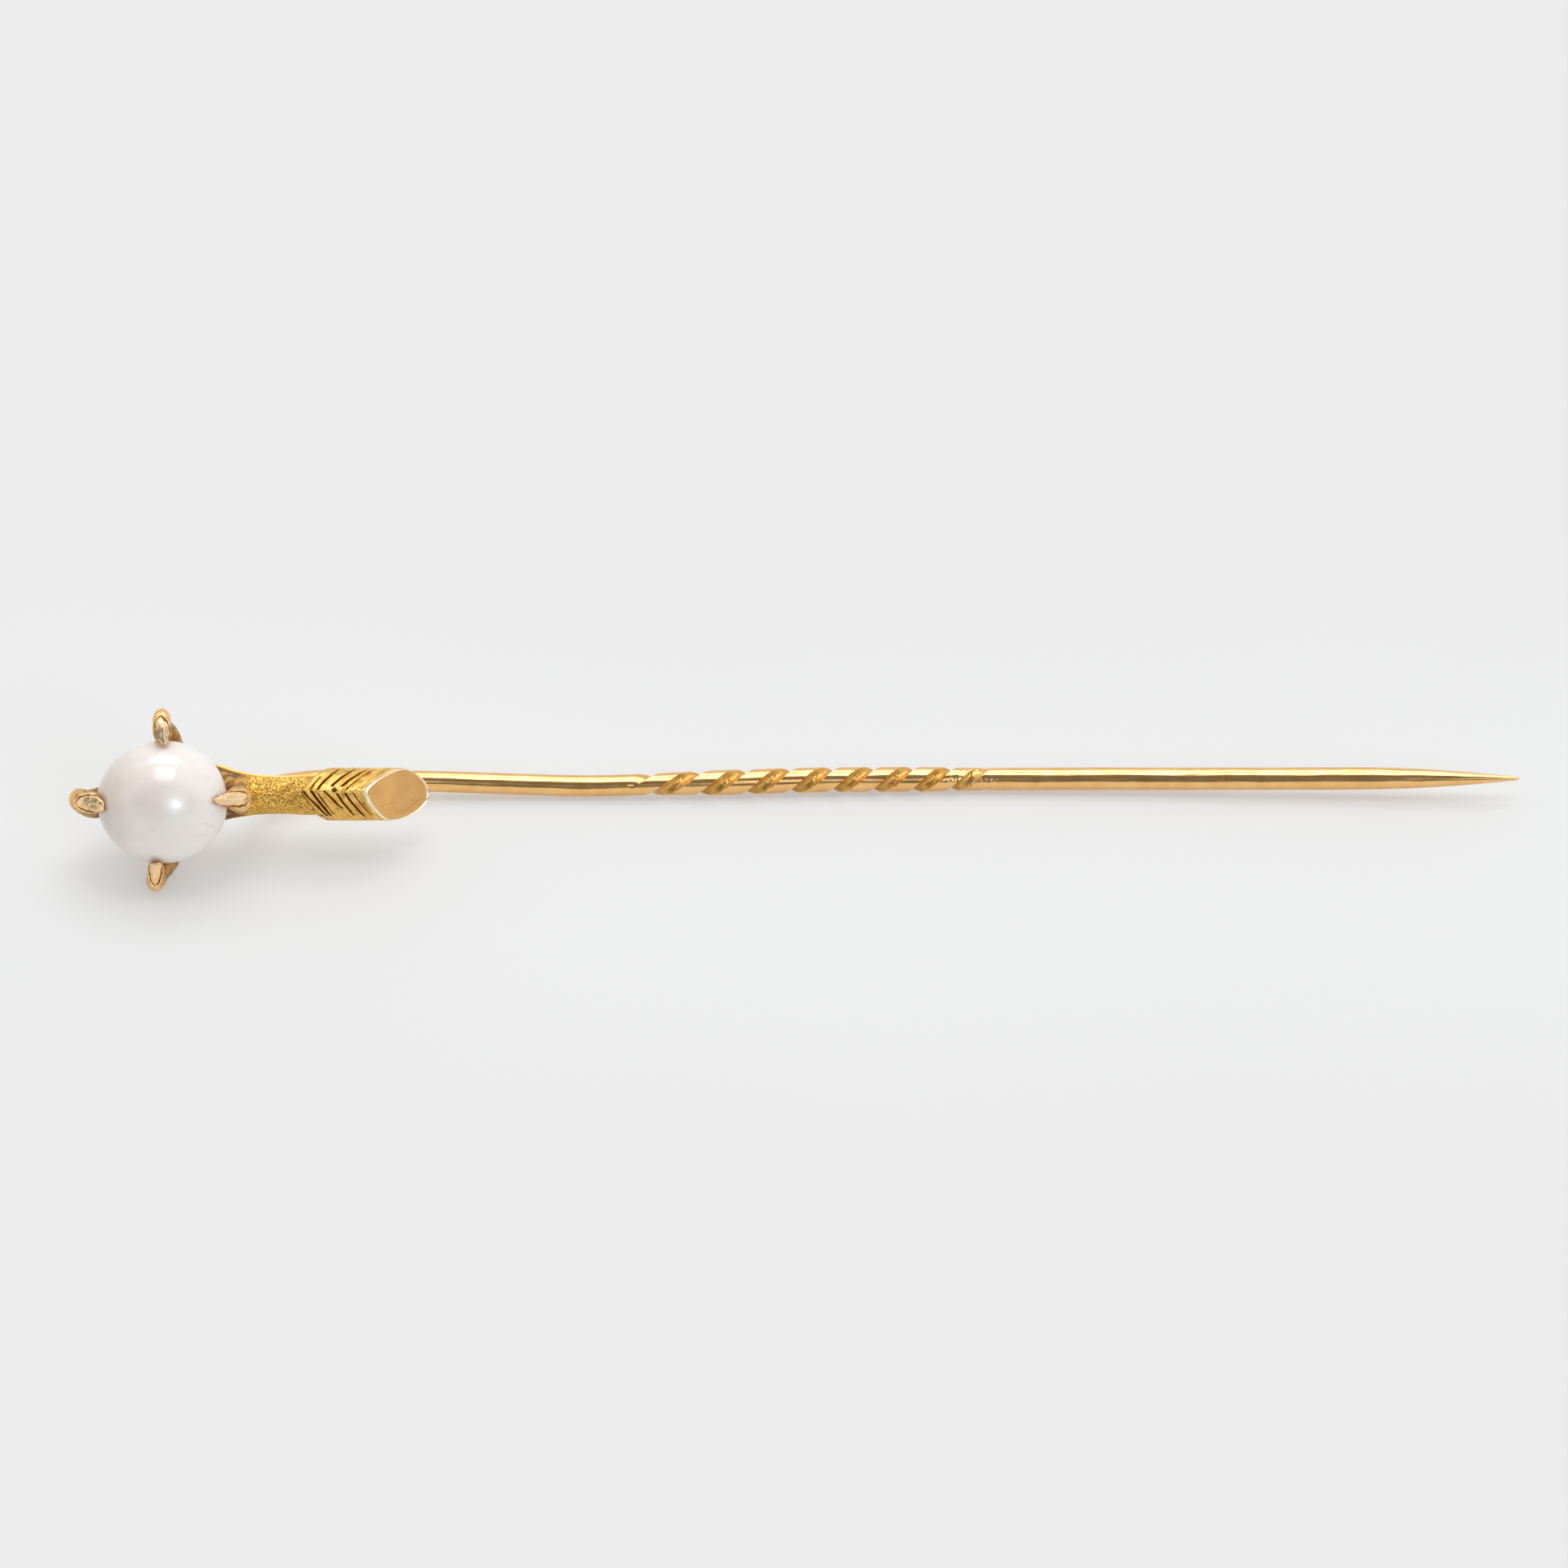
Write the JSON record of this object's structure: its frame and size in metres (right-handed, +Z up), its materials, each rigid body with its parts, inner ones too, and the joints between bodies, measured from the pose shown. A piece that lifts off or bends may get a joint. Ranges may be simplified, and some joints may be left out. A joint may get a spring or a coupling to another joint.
{
  "type": "hat pin",
  "caption": "Gold hat pin: a bird's claw with four hooked talons grips a pearl, on a cut-off feathered leg and a twisted wire stem with a tapered point.",
  "frame": {"origin": "on the table under the middle of the pin's box, with the pin lying at rest on its lower toe and its stem", "axes": "+X along the stem towards its point, +Z up from the table, so that the claw and the pearl face -Y and upwards"},
  "size_m": [0.0698, 0.0108, 0.0082],
  "materials": {
    "nacre": "glossy nacre of a pearl",
    "yellow_gold": "polished yellow gold",
    "rose_gold": "satin rose gold with fine lengthwise ridges",
    "grained_gold": "matt granulated yellow gold",
    "engraved_gold": "engraved yellow gold",
    "satin_gold": "satin gold with a fine scratch",
    "wire_gold": "polished gold wire, worn, matt in the cut grooves",
    "solder": "dull gold solder"
  },
  "bodies": {
    "root": {"pearl": "nacre", "pearl_peg": "yellow_gold", "foot_palm": "yellow_gold", "toe_upper": "yellow_gold", "toe_front": "yellow_gold", "toe_lower": "yellow_gold", "toe_hind": "yellow_gold", "talon_upper": "rose_gold", "talon_front": "rose_gold", "talon_lower": "rose_gold", "talon_hind": "rose_gold", "leg_front_shell": "grained_gold", "leg_back_shell": "grained_gold", "feather_cuff": "engraved_gold", "cut_end_plate": "satin_gold", "stem": "wire_gold", "stem_solder": "solder"}
  },
  "joints": []
}
